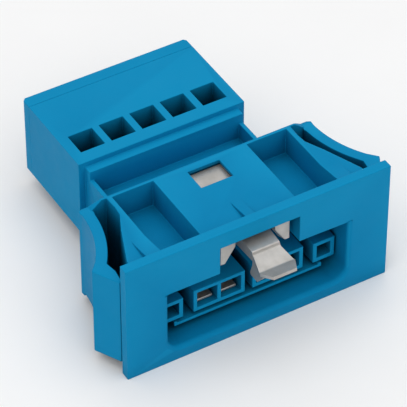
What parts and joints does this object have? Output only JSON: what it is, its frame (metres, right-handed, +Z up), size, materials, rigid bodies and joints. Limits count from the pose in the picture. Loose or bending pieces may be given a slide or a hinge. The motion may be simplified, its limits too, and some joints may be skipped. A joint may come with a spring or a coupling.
{
  "type": "pluggable panel wire connector",
  "caption": "Snap-in panel connector with latching side arms, socket recess, leading earth tongue and spring wire clamps opened through tool slots.",
  "frame": {"origin": "centre of the flange's front face, where the mating plug enters", "axes": "+X to the right seen from the mating side, +Y from the mating face towards the wire entries, +Z up"},
  "size_m": [0.0452, 0.0488, 0.0198],
  "materials": {
    "housing": "satin moulded polyamide, blue",
    "earth_metal": "satin tin-plated strip",
    "contact_metal": "tin-plated copper alloy",
    "spring_steel": "bright spring steel"
  },
  "bodies": {
    "connector": {"front_housing": "housing", "contact_insert": "housing", "terminal_housing": "housing", "rear_cover": "housing", "earth_bar": "earth_metal", "line_contact_1": "contact_metal", "line_contact_2": "contact_metal", "line_contact_3": "contact_metal", "line_contact_4": "contact_metal", "clamp_spring_1": "spring_steel", "clamp_spring_2": "spring_steel", "clamp_spring_3": "spring_steel", "clamp_spring_4": "spring_steel", "clamp_spring_5": "spring_steel"},
    "latch_right": {"latch_right": "housing"},
    "latch_left": {"latch_left": "housing"},
    "earth_tongue": {"earth_tongue": "earth_metal"},
    "spring_leg_1": {"spring_leg_1": "spring_steel"},
    "spring_leg_2": {"spring_leg_2": "spring_steel"},
    "spring_leg_3": {"spring_leg_3": "spring_steel"},
    "spring_leg_4": {"spring_leg_4": "spring_steel"},
    "spring_leg_5": {"spring_leg_5": "spring_steel"}
  },
  "joints": [
    {"name": "latch_right_flex", "type": "hinge", "parent": "connector", "child": "latch_right", "pos_m": [0.0175, 0.0153, 0], "axis": [0, 0, -1], "range_deg": [0, 6], "stiffness_Nm_per_rad": 0.004},
    {"name": "latch_left_flex", "type": "hinge", "parent": "connector", "child": "latch_left", "pos_m": [-0.0175, 0.0153, 0], "axis": [0, 0, 1], "range_deg": [0, 6], "stiffness_Nm_per_rad": 0.004},
    {"name": "earth_tongue_flex", "type": "hinge", "parent": "connector", "child": "earth_tongue", "pos_m": [0, 0.008, 0.00645], "axis": [1, 0, 0], "range_deg": [0, 5], "stiffness_Nm_per_rad": 0.004},
    {"name": "clamp_1_release", "type": "hinge", "parent": "connector", "child": "spring_leg_1", "pos_m": [-0.0098, 0.0378, -0.005], "axis": [1, 0, 0], "range_deg": [0, 20], "stiffness_Nm_per_rad": 0.001},
    {"name": "clamp_2_release", "type": "hinge", "parent": "connector", "child": "spring_leg_2", "pos_m": [-0.0049, 0.0378, -0.005], "axis": [1, 0, 0], "range_deg": [0, 20], "stiffness_Nm_per_rad": 0.001},
    {"name": "clamp_3_release", "type": "hinge", "parent": "connector", "child": "spring_leg_3", "pos_m": [0, 0.0378, -0.005], "axis": [1, 0, 0], "range_deg": [0, 20], "stiffness_Nm_per_rad": 0.001},
    {"name": "clamp_4_release", "type": "hinge", "parent": "connector", "child": "spring_leg_4", "pos_m": [0.0049, 0.0378, -0.005], "axis": [1, 0, 0], "range_deg": [0, 20], "stiffness_Nm_per_rad": 0.001},
    {"name": "clamp_5_release", "type": "hinge", "parent": "connector", "child": "spring_leg_5", "pos_m": [0.0098, 0.0378, -0.005], "axis": [1, 0, 0], "range_deg": [0, 20], "stiffness_Nm_per_rad": 0.001}
  ]
}
